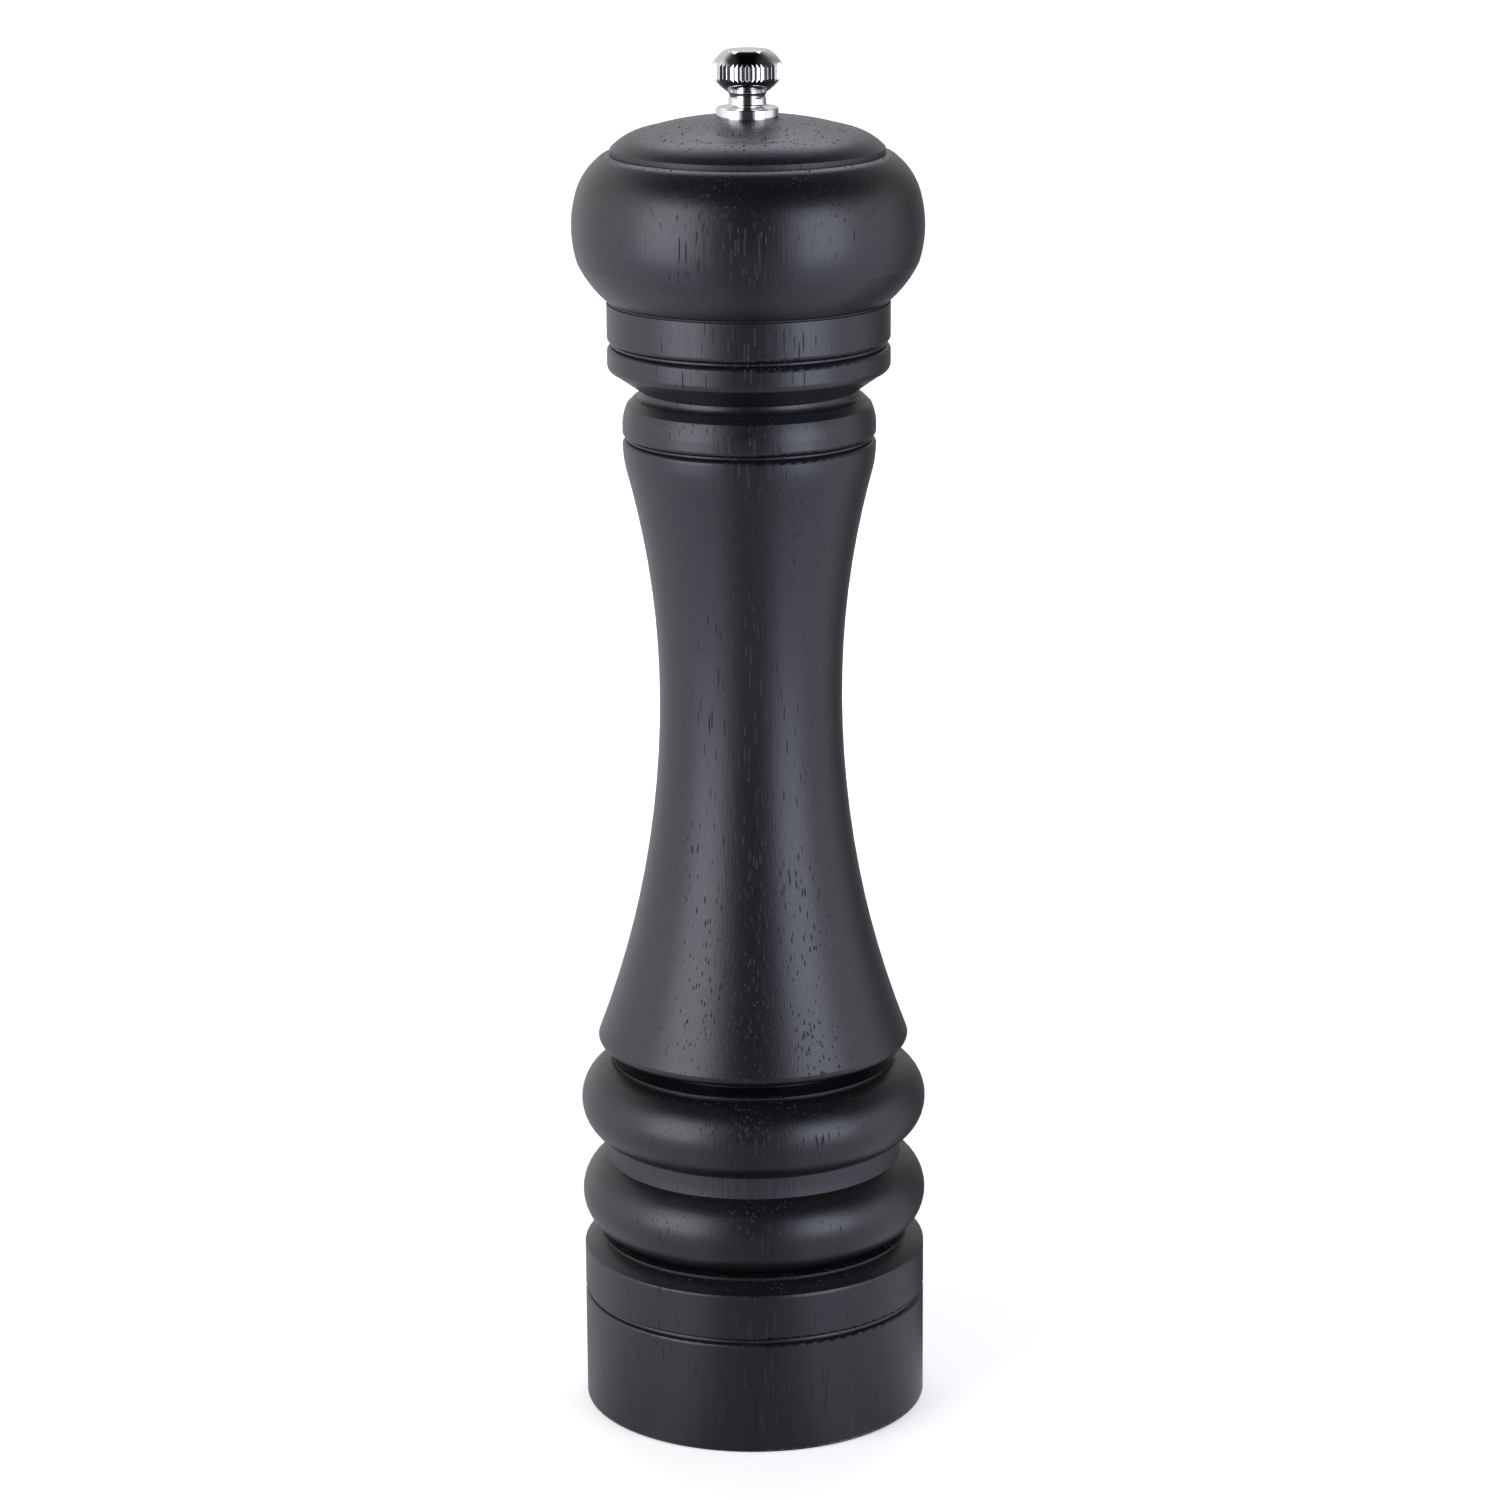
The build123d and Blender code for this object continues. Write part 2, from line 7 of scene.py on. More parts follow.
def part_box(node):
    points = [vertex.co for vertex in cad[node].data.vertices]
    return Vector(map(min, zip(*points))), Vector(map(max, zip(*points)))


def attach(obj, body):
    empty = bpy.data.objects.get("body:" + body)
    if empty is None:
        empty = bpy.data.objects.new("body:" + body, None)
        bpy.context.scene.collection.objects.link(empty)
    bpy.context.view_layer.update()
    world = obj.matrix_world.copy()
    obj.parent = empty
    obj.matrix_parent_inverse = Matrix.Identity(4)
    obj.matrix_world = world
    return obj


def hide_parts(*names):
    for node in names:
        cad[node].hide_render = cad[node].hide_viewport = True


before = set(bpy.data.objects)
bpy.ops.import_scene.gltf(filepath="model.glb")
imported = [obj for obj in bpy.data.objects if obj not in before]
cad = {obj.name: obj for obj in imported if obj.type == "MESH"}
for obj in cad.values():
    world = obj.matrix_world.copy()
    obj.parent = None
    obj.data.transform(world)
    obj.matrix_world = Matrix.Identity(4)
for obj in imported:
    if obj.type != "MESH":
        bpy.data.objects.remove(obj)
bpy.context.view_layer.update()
print("frame loaded:", len(cad), "nodes")

scene = bpy.context.scene
scene.view_settings.view_transform = "Standard"
mm = 0.001


def linearColour(hexCode):
    parts = [int(hexCode[i : i + 2], 16) / 255 for i in (1, 3, 5)]
    return [p / 12.92 if p <= 0.04045 else ((p + 0.055) / 1.055) ** 2.4 for p in parts] + [1.0]


# adds one node: inputs go by socket name or number, and a node or socket given as a value is linked
def addNode(tree, kind, inputs=None, **settings):
    node = tree.nodes.new("ShaderNode" + kind)
    for name, value in settings.items():
        setattr(node, name, value)
    for key, value in (inputs or {}).items():
        if isinstance(value, bpy.types.Node):
            value = value.outputs[0]
        if isinstance(value, bpy.types.NodeSocket):
            tree.links.new(value, node.inputs[key])
        else:
            node.inputs[key].default_value = value
    return node


def newMaterial(name):
    material = bpy.data.materials.new(name)
    material.use_nodes = True
    tree = material.node_tree
    tree.nodes.clear()
    return material, tree, addNode(tree, "TexCoord").outputs["Object"]


def finishMaterial(tree, shader):
    addNode(tree, "OutputMaterial", {"Surface": shader})


# Rubberwood turned with its grain upright, sanded, stained black and sealed with one thin coat of satin
# lacquer. The stain hides the wood's own colour, so the eye gets wide soft grey highlights with a slight
# blue cast. The open pores hold sanding dust: short dull dashes along the grain, pale where the wood is
# dark and dark in the highlights, where the dust and painted shade for their depth put out their shine,
# and dots where the grain ends.
stainedWood = {
    "name": "rubberwood turned stained black satin lacquer",
    "dark": "#0b0b0e",
    "light": "#121215",
    "dust": "#313136",
    "poreEvery": 0.62,  # mm from pore to pore across the grain
    "poreSmall": 0.10,  # a pore's radius as a share of that
    "poreLarge": 0.29,
    "poreEnd": 0.52,  # the widest where the grain ends
    "endShare": 0.45,  # how many of the pores are open there
    "poreStretch": 14.0,  # times as long as wide
    "poreDepth": 0.2,  # mm
    "poreRough": 0.5,  # more roughness in a pore
    "patch": 14.0,  # mm, patches with more and with fewer open pores
    "fibre": 0.35,  # mm across, a real one is a tenth of it and too fine to show
    "fibreStretch": 40.0,
    "fibreRelief": 0.2,  # height of a fibre against a pore's depth
    "roughness": 0.35,
    "uneven": 0.08,
    "endGrain": 0.05,  # more roughness where the grain ends and drinks the lacquer
    "sheen": "#f1f2ff",
    "poreDustAndShade": "#303030",  # the dust in a pore hardly shines, and painted shade for the pore's depth puts out the rest of its shine
}
# the same on narrow steps where sandpaper doesn't reach: duller, with the fibres standing up, and a lighter
# colour that is painted light brightening these steps
unsandedWoodPaintedLighter = {
    **stainedWood,
    "name": "rubberwood turned stained black unsanded painted lighter",
    # painted light: a lighter colour that brightens the steps
    "light": "#2c2c31",
    "fibre": 0.5,
    "fibreRelief": 0.8,
    "roughness": 0.5,
}


def makeStainedWood(look):
    material, tree, place = newMaterial(look["name"])
    along = addNode(tree, "Mapping", {"Vector": place, "Scale": (1, 1, 1 / look["poreStretch"])})
    fine = addNode(tree, "Mapping", {"Vector": place, "Scale": (1, 1, 1 / look["fibreStretch"])})
    # the flat-sawn faces, front and back, show more pores than the quarter-sawn sides
    level = addNode(tree, "VectorMath", {0: place, 1: (1, 1, 0)}, operation="MULTIPLY")
    spoke = addNode(tree, "VectorMath", {0: level}, operation="NORMALIZE")
    outward = addNode(tree, "SeparateXYZ", {0: spoke})
    flatSawn = addNode(tree, "Math", {0: outward.outputs["Y"]}, operation="ABSOLUTE")
    crowd = addNode(tree, "MapRange", {
        "Value": flatSawn, "From Min": 0.55, "From Max": 0.95, "To Min": 0.35,
    })
    patch = addNode(tree, "TexNoise", {"Vector": place, "Scale": 1 / (look["patch"] * mm), "Detail": 3.0})
    openness = addNode(tree, "MapRange", {
        "Value": patch, "From Min": 0.38, "From Max": 0.60,
        "To Min": look["poreSmall"], "To Max": look["poreLarge"],
    })
    sideOn = addNode(tree, "Math", {0: openness, 1: crowd}, operation="MULTIPLY")
    pores = addNode(tree, "TexVoronoi", {"Vector": along, "Scale": 1 / (look["poreEvery"] * mm)})
    # where the grain ends a few of the pores are open and wide
    facing = addNode(tree, "SeparateXYZ", {0: addNode(tree, "TexCoord").outputs["Normal"]})
    up = addNode(tree, "Math", {0: facing.outputs["Z"]}, operation="ABSOLUTE")
    grainEnd = addNode(tree, "MapRange", {"Value": up, "From Min": 0.75, "From Max": 0.95})
    lot = addNode(tree, "SeparateColor", {0: pores.outputs["Color"]})
    endOn = addNode(tree, "MapRange", {
        "Value": lot, "From Min": 1 - look["endShare"], "To Max": look["poreEnd"],
    })
    width = addNode(tree, "Mix", {0: grainEnd, 2: sideOn, 3: endOn})
    inside = addNode(tree, "Math", {0: width, 1: pores.outputs["Distance"]}, operation="SUBTRACT")
    hole = addNode(tree, "MapRange", {"Value": inside, "From Max": 0.10}, interpolation_type="SMOOTHSTEP")
    fibre = addNode(tree, "TexNoise", {"Vector": fine, "Scale": 1 / (look["fibre"] * mm), "Detail": 2.0})
    stain = addNode(tree, "Mix", {
        0: fibre, 6: linearColour(look["dark"]), 7: linearColour(look["light"]),
    }, data_type="RGBA").outputs[2]
    colour = addNode(tree, "Mix", {
        0: hole, 6: stain, 7: linearColour(look["dust"]),
    }, data_type="RGBA").outputs[2]
    raised = addNode(tree, "Math", {0: fibre, 1: look["fibreRelief"]}, operation="MULTIPLY")
    relief = addNode(tree, "Math", {0: raised, 1: hole}, operation="SUBTRACT")
    bump = addNode(tree, "Bump", {"Height": relief, "Strength": 0.6, "Distance": look["poreDepth"] * mm})
    satin = addNode(tree, "MapRange", {
        "Value": fibre,
        "To Min": look["roughness"] - look["uneven"], "To Max": look["roughness"] + look["uneven"],
    })
    lacquer = addNode(tree, "Math", {0: grainEnd, 1: look["endGrain"], 2: satin}, operation="MULTIPLY_ADD")
    rough = addNode(tree, "Math", {0: hole, 1: look["poreRough"], 2: lacquer}, operation="MULTIPLY_ADD")
    # in a pore the shine goes dark: dull dust, and painted shade for the pore's depth
    gloss = addNode(tree, "Mix", {
        0: hole, 6: linearColour(look["sheen"]), 7: linearColour(look["poreDustAndShade"]),
    }, data_type="RGBA").outputs[2]
    finishMaterial(tree, addNode(tree, "BsdfPrincipled", {
        "Base Color": colour, "Roughness": rough, "Normal": bump, "IOR": 1.5, "Specular Tint": gloss,
    }))
    return material


# The same wood where stain and lacquer don't go: the bores, the recess and the tenon, cut and left bare, so
# pale straw brown, dry and matt, with brown pores.
bareWood = {
    "pale": "#d2b083",
    "deep": "#bd9566",
    "poreColour": "#8a633c",
    "poreEvery": 0.85,  # mm
    "poreShare": 0.17,
    "poreStretch": 8.0,
    "yearWidth": 2.6,  # mm
    "roughness": 0.72,
}


def makeBareWood(look):
    material, tree, place = newMaterial("rubberwood bored bare")
    along = addNode(tree, "Mapping", {"Vector": place, "Scale": (1, 1, 1 / look["poreStretch"])})
    years = addNode(tree, "TexNoise", {
        "Vector": along, "Scale": 1 / (look["yearWidth"] * mm), "Detail": 4.0,
    })
    band = addNode(tree, "MapRange", {"Value": years, "From Min": 0.35, "From Max": 0.65})
    pores = addNode(tree, "TexVoronoi", {"Vector": along, "Scale": 1 / (look["poreEvery"] * mm)})
    hole = addNode(tree, "MapRange", {
        "Value": pores.outputs["Distance"], "From Min": look["poreShare"], "From Max": look["poreShare"] / 3,
    })
    wood = addNode(tree, "Mix", {
        0: band, 6: linearColour(look["pale"]), 7: linearColour(look["deep"]),
    }, data_type="RGBA").outputs[2]
    colour = addNode(tree, "Mix", {
        0: hole, 6: wood, 7: linearColour(look["poreColour"]),
    }, data_type="RGBA").outputs[2]
    bump = addNode(tree, "Bump", {"Height": years, "Strength": 0.4, "Distance": 0.1 * mm})
    finishMaterial(tree, addNode(tree, "BsdfPrincipled", {
        "Base Color": colour, "Roughness": look["roughness"], "Normal": bump,
    }))
    return material


# Turned brass under bright nickel and chrome, polished: a mirror with faint rings left by the lathe and
# a few duller smears from fingers.
chromePlate = {
    "colour": "#d8d8d9",
    "dull": "#c4c5c7",
    "ring": 0.12,  # mm between the lathe's rings
    "smear": 3.0,  # mm
    "roughness": 0.06,
}


def makeChromePlate(look):
    material, tree, place = newMaterial("brass turned chrome plated")
    rings = addNode(tree, "Mapping", {"Vector": place, "Scale": (0.02, 0.02, 1)})
    lathe = addNode(tree, "TexNoise", {"Vector": rings, "Scale": 1 / (look["ring"] * mm), "Detail": 1.0})
    smear = addNode(tree, "TexNoise", {"Vector": place, "Scale": 1 / (look["smear"] * mm), "Detail": 3.0})
    colour = addNode(tree, "Mix", {
        0: smear, 6: linearColour(look["colour"]), 7: linearColour(look["dull"]),
    }, data_type="RGBA").outputs[2]
    rough = addNode(tree, "MapRange", {
        "Value": smear, "To Min": look["roughness"] / 2, "To Max": look["roughness"] * 2,
    })
    bump = addNode(tree, "Bump", {"Height": lathe, "Strength": 0.12, "Distance": 0.01 * mm})
    finishMaterial(tree, addNode(tree, "BsdfPrincipled", {
        "Base Color": colour, "Metallic": 1.0, "Roughness": rough, "Normal": bump,
    }))
    return material


# Metals of the mechanism. Each has its own lay: stretch is along x, y and z, grit in mm is one mark's width.
metals = {
    "zincSteel": {  # mild steel pressed and zinc plated: cold pale grey, faintly blotched
        "name": "mild steel pressed zinc plated",
        "light": "#c3c6c9", "dark": "#9da1a6", "grit": 0.9, "stretch": (1, 1, 1), "roughness": 0.30,
    },
    "drawnSteel": {  # steel drawn square through a die: fine lines down its length
        "name": "mild steel cold drawn",
        "light": "#c0c2c4", "dark": "#8f9295", "grit": 0.12, "stretch": (1, 1, 0.02), "roughness": 0.27,
    },
    "burrSteel": {  # hobbed, case hardened and oiled: dark grey with a dull glint on the teeth
        "name": "burr steel case hardened",
        "light": "#6f6f70", "dark": "#48484a", "grit": 0.6, "stretch": (1, 1, 1), "roughness": 0.40,
    },
    "springSteel": {  # hard drawn wire, oiled: brighter and greyer than plated steel
        "name": "spring wire hard drawn",
        "light": "#b2b2b0", "dark": "#868684", "grit": 0.2, "stretch": (1, 1, 1), "roughness": 0.24,
    },
    "brass": {  # bar turned on an automatic lathe: yellow, fine rings
        "name": "brass turned",
        "light": "#d9b565", "dark": "#b88f42", "grit": 0.15, "stretch": (0.03, 0.03, 1), "roughness": 0.24,
    },
}


def makeMetal(look):
    material, tree, place = newMaterial(look["name"])
    lay = addNode(tree, "Mapping", {"Vector": place, "Scale": look["stretch"]})
    marks = addNode(tree, "TexNoise", {"Vector": lay, "Scale": 1 / (look["grit"] * mm), "Detail": 4.0})
    spread = addNode(tree, "MapRange", {"Value": marks, "From Min": 0.3, "From Max": 0.7})
    colour = addNode(tree, "Mix", {
        0: spread, 6: linearColour(look["dark"]), 7: linearColour(look["light"]),
    }, data_type="RGBA").outputs[2]
    rough = addNode(tree, "MapRange", {
        "Value": spread, "To Min": look["roughness"] + 0.08, "To Max": look["roughness"] - 0.05,
    })
    bump = addNode(tree, "Bump", {"Height": marks, "Strength": 0.25, "Distance": 0.02 * mm})
    finishMaterial(tree, addNode(tree, "BsdfPrincipled", {
        "Base Color": colour, "Metallic": 1.0, "Roughness": rough, "Normal": bump,
    }))
    return material


# Natural nylon, injection moulded: milky, slightly see-through at its edges, with a fine mould texture.
nylon = {
    "milky": "#e9e5d8",
    "shade": "#dcd7c6",
    "cloud": 2.5,  # mm
    "grain": 0.25,  # mm
    "roughness": 0.42,
    "seeThrough": (1.2 * mm, 1.1 * mm, 0.9 * mm),
}


def makeNylon(look):
    material, tree, place = newMaterial("nylon moulded natural")
    cloud = addNode(tree, "TexNoise", {"Vector": place, "Scale": 1 / (look["cloud"] * mm), "Detail": 2.0})
    grain = addNode(tree, "TexNoise", {"Vector": place, "Scale": 1 / (look["grain"] * mm)})
    colour = addNode(tree, "Mix", {
        0: cloud, 6: linearColour(look["milky"]), 7: linearColour(look["shade"]),
    }, data_type="RGBA").outputs[2]
    bump = addNode(tree, "Bump", {"Height": grain, "Strength": 0.2, "Distance": 0.02 * mm})
    finishMaterial(tree, addNode(tree, "BsdfPrincipled", {
        "Base Color": colour, "Roughness": look["roughness"], "Normal": bump, "IOR": 1.53,
        "Subsurface Weight": 0.2, "Subsurface Radius": look["seeThrough"], "Subsurface Scale": 1.0,
    }))
    return material


made = {name: makeMetal(look) for name, look in metals.items()}
made["stainedWood"] = makeStainedWood(stainedWood)
made["unsandedWoodPaintedLighter"] = makeStainedWood(unsandedWoodPaintedLighter)
made["bareWood"] = makeBareWood(bareWood)
made["chrome"] = makeChromePlate(chromePlate)
made["nylon"] = makeNylon(nylon)
print("materials made:", len(made))

finishes = {
    "chrome": ["adjusting_knob"],
    "nylon": ["knob_lock_ring", "knob_washer", "shaft_bush"],
    "brass": ["head_bush"],
    "drawnSteel": ["shaft"],
    "burrSteel": ["rotor_burr", "stator_burr"],
    "springSteel": ["rotor_clip", "spring"],
    "zincSteel": [
        "drive_plate", "drive_plate_screws", "rotor_washer", "spring_washer",
        "bridge", "bridge_rivets", "base_plate", "base_plate_screws",
    ],
}
for finish, nodes in finishes.items():
    for name in nodes:
        cad[name].data.materials.clear()
        cad[name].data.materials.append(made[finish])

# Which faces of the body and the head are bare, or unsanded and painted lighter, in mm
turnedWood = {
    "insideRadius": 15.4,  # chamber, mouth and tenon
    "recessRadius": 25.1,
    "recessTop": 20.0,
    "steps": [(47.1, 51.1), (231.7, 232.75)],  # heights of the ring between the beads and of the dome's edge
}


def dressTurnedWood(node, look, splitHeight):
    node.data.materials.clear()
    for name in ("stainedWood", "bareWood", "unsandedWoodPaintedLighter"):
        node.data.materials.append(made[name])
    for face in node.data.polygons:
        x, y, height = face.center / mm
        radius = math.hypot(x, y)
        outward = (face.normal.x * x + face.normal.y * y) / max(radius, mm)
        inside = radius < look["insideRadius"] and look["recessTop"] < height < splitHeight - 0.1
        recessed = radius < look["recessRadius"] and 0.1 < height < look["recessTop"]
        stepped = outward > 0.9 and any(low < height < high for low, high in look["steps"])
        face.material_index = 0
        # the steps get the unsanded wood, whose lighter colour is painted light
        if stepped:
            face.material_index = 2
        if outward < -0.3 or inside or recessed:
            face.material_index = 1


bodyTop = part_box("body")[1].z / mm
dressTurnedWood(cad["body"], turnedWood, bodyTop)
dressTurnedWood(cad["head"], turnedWood, bodyTop)
print("finishes done:", len(cad), "nodes")

# The spindle with its thread cut, in mm, in place of the plain one
spindle = {
    "corner": 0.3,
    "edge": 0.15,
    "threadLength": 17.6,
    "major": 2.0,
    "minor": 1.62,
    "pitch": 0.7,
    "runOut": 1.2,
    "chamfer": 0.45,
    # radius and height up from the lower end: the turned stub and the clip's groove
    "stub": [(1.6, 0), (2.0, 0.4), (2.0, 2.14), (1.5, 2.14), (1.5, 2.8), (2.0, 2.8), (2.0, 3.7)],
    "sides": 32,
    "rowsPerTurn": 10,
}


def addRows(verts, faces, rows):
    start = len(verts)
    count = len(rows[0])
    for row in rows:
        verts.extend(row)
    for r in range(len(rows) - 1):
        for i in range(count):
            a = start + r * count + i
            b = start + r * count + (i + 1) % count
            faces.append((a, b, b + count, a + count))
    faces.append(tuple(reversed(range(start, start + count))))
    faces.append(tuple(range(len(verts) - count, len(verts))))


def onCircle(radius, turn, height):
    return radius * math.cos(math.tau * turn) * mm, radius * math.sin(math.tau * turn) * mm, height * mm


def roundRow(radius, height, sides):
    return [onCircle(radius, i / sides, height) for i in range(sides)]


def squareRow(half, corner, height):
    row = []
    for quarter, (sx, sy) in enumerate([(1, 1), (-1, 1), (-1, -1), (1, -1)]):
        for step in range(5):
            x, y, z = onCircle(corner, quarter / 4 + step / 16, height)
            row.append((sx * (half - corner) * mm + x, sy * (half - corner) * mm + y, z))
    return row


def threadRow(look, height, shoulder, tip):
    depth = look["major"] - look["minor"]
    rootShare = min(1.0, (height - shoulder) / look["runOut"])
    tipShare = min(1.0, (tip - height) / look["chamfer"])
    row = []
    for i in range(look["sides"]):
        turn = i / look["sides"]
        crest = 1 - abs(2 * ((height / look["pitch"] - turn) % 1.0) - 1)  # 0 in the root, 1 on the crest
        radius = look["minor"] + depth * min(1.0, max(0.0, crest * 1.35 - 0.12))
        radius = max(radius, look["major"] - depth * rootShare)
        radius = min(radius, look["minor"] - 0.1 + (depth + 0.1) * tipShare)
        row.append(onCircle(radius, turn, height))
    return row


def makeSpindle(look):
    lowest, highest = (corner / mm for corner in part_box("shaft"))
    half, corner, edge = highest.x, look["corner"], look["edge"]
    squareLow = lowest.z + look["stub"][-1][1]
    tip = highest.z
    shoulder = tip - look["threadLength"]
    verts, faces = [], []
    addRows(verts, faces, [
        squareRow(half - edge, corner, squareLow),
        squareRow(half, corner, squareLow + edge),
        squareRow(half, corner, shoulder - edge),
        squareRow(half - edge, corner, shoulder),
    ])
    count = round(look["threadLength"] / look["pitch"] * look["rowsPerTurn"])
    heights = [shoulder + look["threadLength"] * i / count for i in range(count + 1)]
    addRows(verts, faces, [threadRow(look, height, shoulder, tip) for height in heights])
    addRows(verts, faces, [roundRow(radius, lowest.z + up, look["sides"]) for radius, up in look["stub"]])
    mesh = bpy.data.meshes.new("threadedSpindle")
    mesh.from_pydata(verts, [], faces)
    mesh.shade_smooth()
    mesh.set_sharp_from_angle(angle=math.radians(32))
    mesh.materials.append(made["drawnSteel"])
    rod = bpy.data.objects.new("threadedSpindle", mesh)
    scene.collection.objects.link(rod)
    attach(rod, "spindle")
    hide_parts("shaft")


makeSpindle(spindle)
print("spindle done")

# Studio: white paper underneath and behind, a tall softbox on each side in front, one over the back, and
# a dark room behind the camera, which gloss shows as the dark stripe down the middle. Levels are against
# white.
studio = {
    "ambient": 0.33,
    "front": 0.05,
    "left": 1.7,
    "right": 1.6,
    "backLeft": 1.08,
    "backRight": 0.20,
    "backHigh": 0.85,
    "backHighRight": 0.35,
    "ceiling": 0.03,
    "lean": 0.1,  # the light on the left wall reaches higher than on the right
    # where one part of the room gives way to the next, on a ball of radius 1 around the mill
    "wallFrom": (0.26, 0.64),
    "wallTop": (0.39, 0.69),
    "paperFrom": (0.0, 0.7),
    "paperTop": (0.60, 0.92),
    "floorColour": "#f2f2f2",
    # what gloss sees of the floor is a painted glow of the room's light, not lit paper
    "floorGlowPainted": "#f4f6ff",
    "floorLift": 0.45,
    "floorHalf": 0.05,  # metres from the middle to where the floor's painted glow is half as bright as the wall over it: painted shade near the foot
    "floorFront": 0.42,
    "floorEnd": 1.0,  # metres, past it the floor's painted glow in front goes dark
}


# goes smoothly from the first value to the last one while the measure crosses the span
def change(tree, measure, span, first, last):
    return addNode(tree, "MapRange", {
        "Value": measure, "From Min": span[0], "From Max": span[1], "To Min": first, "To Max": last,
    }, interpolation_type="SMOOTHSTEP")


# how bright the room is the way that gloss looks
def roomLevel(tree, way, look):
    to = addNode(tree, "SeparateXYZ", {0: way})
    x, y, z = to.outputs
    beside = addNode(tree, "Math", {0: x}, operation="ABSOLUTE")
    aside = change(tree, beside, look["wallFrom"], 0.0, 1.0)
    behind = change(tree, y, look["paperFrom"], 0.0, 1.0)
    upWall = addNode(tree, "Math", {0: x, 1: look["lean"], 2: z}, operation="MULTIPLY_ADD")
    wallTop = change(tree, upWall, look["wallTop"], 1.0, look["ceiling"])
    paperTop = change(tree, z, look["paperTop"], 1.0, look["ceiling"])
    wall = addNode(tree, "MapRange", {
        "Value": x, "From Min": -0.3, "From Max": 0.3, "To Min": look["left"], "To Max": look["right"],
    })
    paperLow = addNode(tree, "MapRange", {
        "Value": x, "From Min": -0.65, "From Max": 0.65,
        "To Min": look["backLeft"], "To Max": look["backRight"],
    })
    upPaper = addNode(tree, "MapRange", {"Value": z, "From Min": 0.05, "From Max": 0.35})
    paperHigh = addNode(tree, "MapRange", {
        "Value": x, "From Min": 0.22, "From Max": 0.60,
        "To Min": look["backHigh"], "To Max": look["backHighRight"],
    })
    paper = addNode(tree, "Mix", {0: upPaper, 2: paperLow, 3: paperHigh})
    nearby = addNode(tree, "Mix", {0: aside, 2: look["front"], 3: wall})
    near = addNode(tree, "Math", {0: nearby, 1: wallTop}, operation="MULTIPLY")
    far = addNode(tree, "Math", {0: paper, 1: paperTop}, operation="MULTIPLY")
    return addNode(tree, "Mix", {0: behind, 2: near, 3: far})


def makeWorld(look):
    world = bpy.data.worlds.new("studio")
    scene.world = world
    world.use_nodes = True
    tree = world.node_tree
    tree.nodes.clear()
    rays = addNode(tree, "LightPath").outputs
    way = addNode(tree, "TexCoord").outputs["Generated"]
    seen = addNode(tree, "Math", {
        0: rays["Is Camera Ray"], 1: rays["Is Transmission Ray"],
    }, operation="MAXIMUM")
    dim = addNode(tree, "Mix", {0: rays["Is Glossy Ray"], 2: look["ambient"], 3: roomLevel(tree, way, look)})
    level = addNode(tree, "Mix", {0: seen, 2: dim, 3: 1.0})
    light = addNode(tree, "Background", {"Color": (1, 1, 1, 1), "Strength": level})
    addNode(tree, "OutputWorld", {0: light})


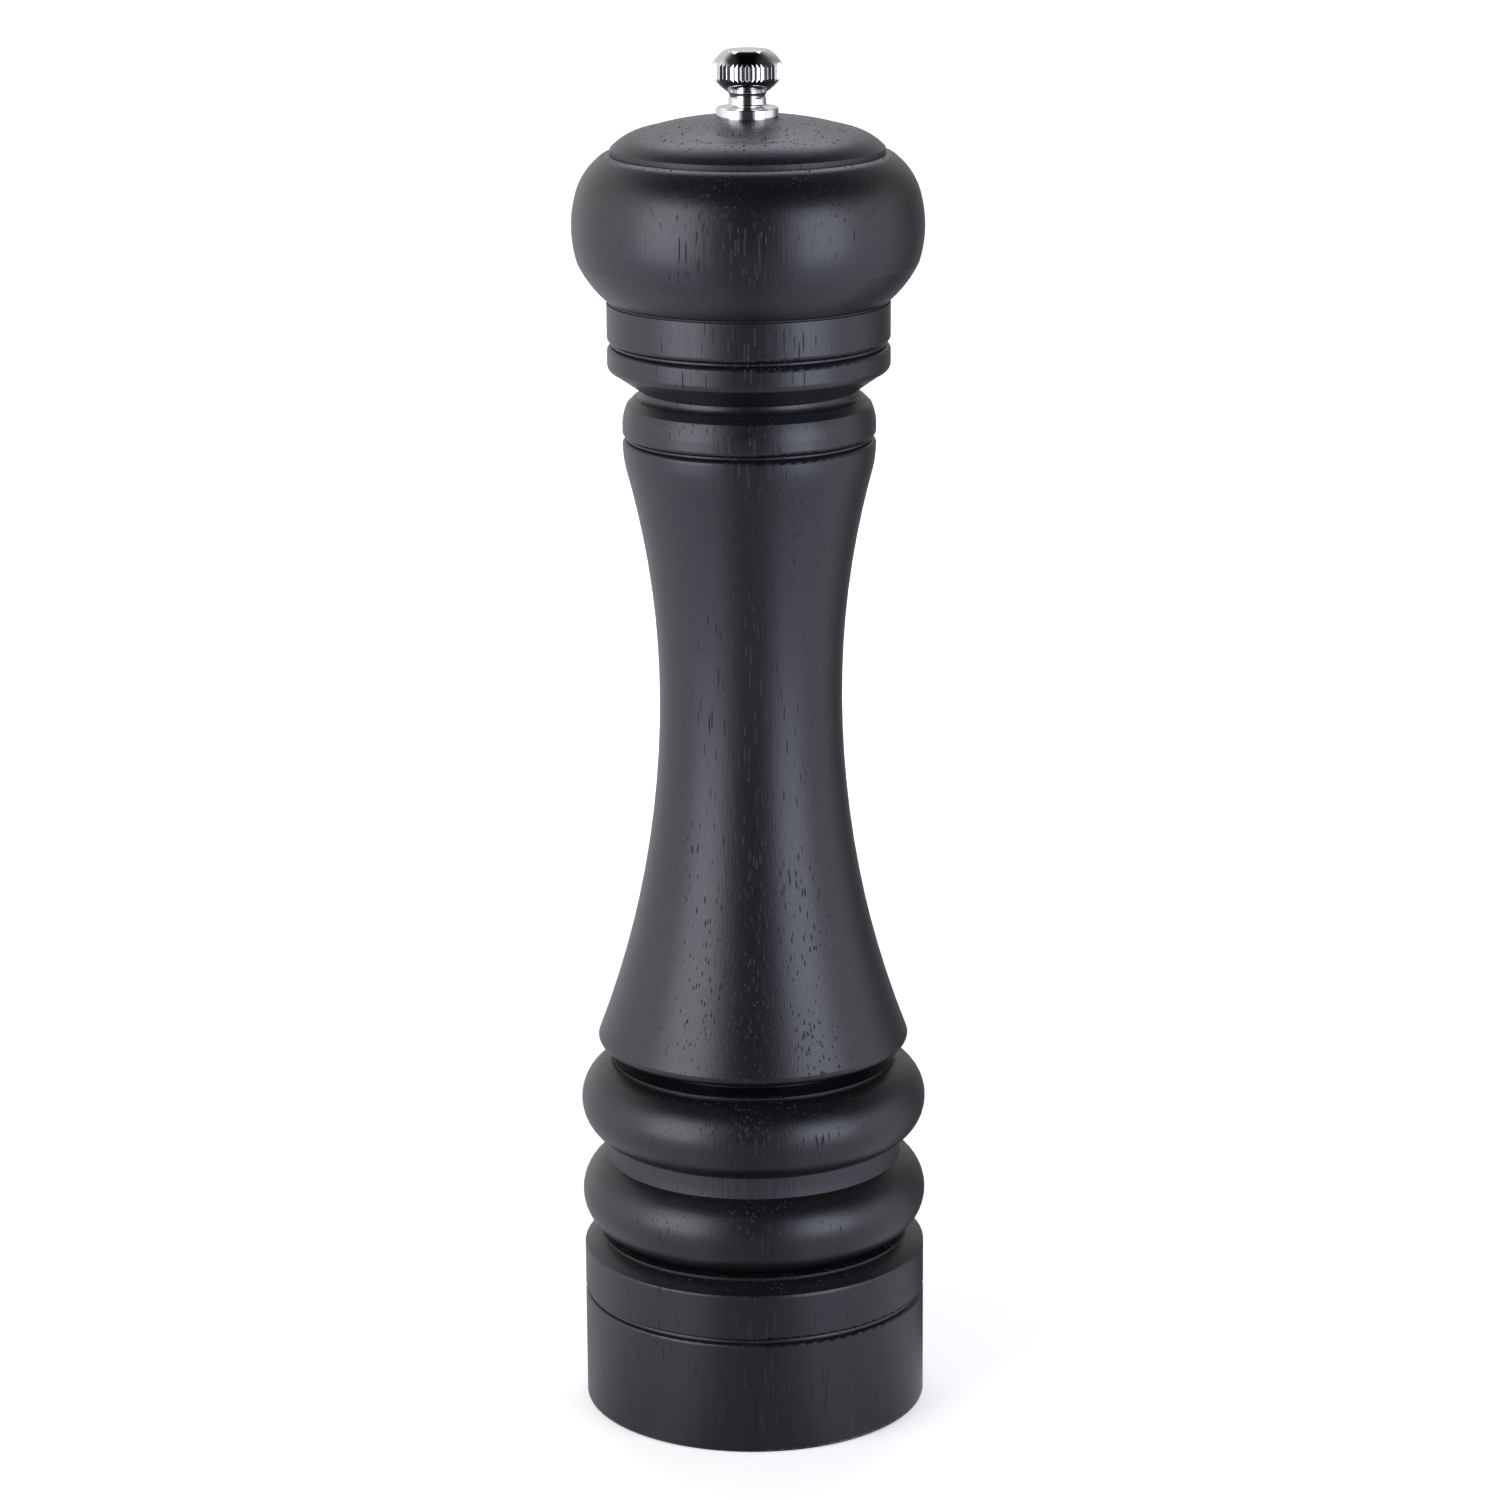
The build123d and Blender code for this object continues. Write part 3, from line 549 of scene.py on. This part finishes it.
def makeFloor(look):
    mesh = bpy.data.meshes.new("floor")
    mesh.from_pydata([(-8, -8, 0), (8, -8, 0), (8, 8, 0), (-8, 8, 0)], [], [(0, 1, 2, 3)])
    floor = bpy.data.objects.new("floor", mesh)
    scene.collection.objects.link(floor)
    material, tree, place = newMaterial("paper sweep white")
    rays = addNode(tree, "LightPath").outputs
    away = addNode(tree, "VectorMath", {0: place}, operation="LENGTH").outputs["Value"]
    toward = addNode(tree, "VectorMath", {0: place}, operation="NORMALIZE")
    # the camera sees white paper with the shadow on it
    fade = addNode(tree, "MapRange", {
        "Value": away, "From Min": 0.12, "From Max": 0.7, "To Min": look["floorLift"],
    }, interpolation_type="SMOOTHSTEP")
    lift = addNode(tree, "Math", {0: fade, 1: rays["Is Camera Ray"]}, operation="MULTIPLY")
    paper = addNode(tree, "BsdfDiffuse", {"Color": linearColour(look["floorColour"])})
    glow = addNode(tree, "Emission", {"Color": (1, 1, 1, 1), "Strength": lift})
    lit = addNode(tree, "AddShader", {0: paper, 1: glow})
    # gloss sees the floor glow with the room's light painted on it: painted shade makes it dimmer close to
    # the foot, and a painted bright stretch lies ahead of the mill
    reach = addNode(tree, "Math", {0: away, 1: look["floorHalf"]}, operation="ADD")
    share = addNode(tree, "Math", {0: away, 1: reach}, operation="DIVIDE")
    room = addNode(tree, "Math", {0: roomLevel(tree, toward, look), 1: share}, operation="MULTIPLY")
    ahead = addNode(tree, "MapRange", {
        "Value": addNode(tree, "SeparateXYZ", {0: toward}).outputs["Y"],
        "From Min": -0.97, "From Max": -0.6, "To Min": 1.0, "To Max": 0.0,
    }, interpolation_type="SMOOTHSTEP")
    front = addNode(tree, "MapRange", {
        "Value": away, "From Min": look["floorEnd"], "From Max": look["floorEnd"] * 1.5,
        "To Min": look["floorFront"], "To Max": 0.0,
    })
    strength = addNode(tree, "Math", {0: ahead, 1: front, 2: room}, operation="MULTIPLY_ADD")
    # the painted glow that gloss sees on the floor, with its painted shade near the foot
    sheen = addNode(tree, "Emission", {"Color": linearColour(look["floorGlowPainted"]), "Strength": strength})
    finishMaterial(tree, addNode(tree, "MixShader", {0: rays["Is Glossy Ray"], 1: lit, 2: sheen}))
    mesh.materials.append(material)


# around is the bearing from the camera's side in degrees, lengths are metres, level is against white paper
softboxes = {
    "leftSoftbox": {
        "around": -52, "away": 0.60, "low": 0.0, "high": 0.62, "width": 0.43,
        "level": 3.2, "colour": "#fdfdff",
    },
    "rightSoftbox": {
        "around": 47, "away": 0.60, "low": 0.0, "high": 0.52, "width": 0.36,
        "level": 3.4, "colour": "#e8edff",
    },
    "topSoftbox": {
        "around": 181, "away": 0.50, "low": 0.64, "high": 1.07, "width": 0.62,
        "level": 3.4, "colour": "#eff1ff",
    },
}
highestAim = 0.24  # metres


def makeSoftbox(name, look):
    data = bpy.data.lights.new(name, "AREA")
    data.shape = "RECTANGLE"
    data.size = look["width"]
    data.size_y = look["high"] - look["low"]
    data.energy = look["level"] * math.pi * data.size * data.size_y
    data.color = linearColour(look["colour"])[:3]
    lamp = bpy.data.objects.new(name, data)
    turn = math.radians(look["around"])
    middle = (look["low"] + look["high"]) / 2
    lamp.location = (look["away"] * math.sin(turn), -look["away"] * math.cos(turn), middle)
    aim = Vector((0, 0, min(middle, highestAim))) - lamp.location
    lamp.rotation_euler = aim.to_track_quat("-Z", "Y").to_euler()
    lamp.visible_camera = False
    scene.collection.objects.link(lamp)


makeWorld(studio)
makeFloor(studio)
for name, look in softboxes.items():
    makeSoftbox(name, look)
print("studio done:", len(softboxes), "softboxes")

viewpoint = {"at": (-0.00025, -0.8227, 0.3397), "down": 14.72, "roll": -0.363, "lens": 112.776}


def makeCamera(look):
    data = bpy.data.cameras.new("camera")
    data.sensor_width = 36.0
    data.lens = look["lens"]
    data.clip_start = 0.05
    camera = bpy.data.objects.new("camera", data)
    camera.location = look["at"]
    tilt = Matrix.Rotation(math.radians(90 - look["down"]), 3, "X")
    roll = Matrix.Rotation(math.radians(look["roll"]), 3, "Z")
    camera.rotation_euler = (tilt @ roll).to_euler()
    scene.collection.objects.link(camera)
    scene.camera = camera


makeCamera(viewpoint)
print("camera done")
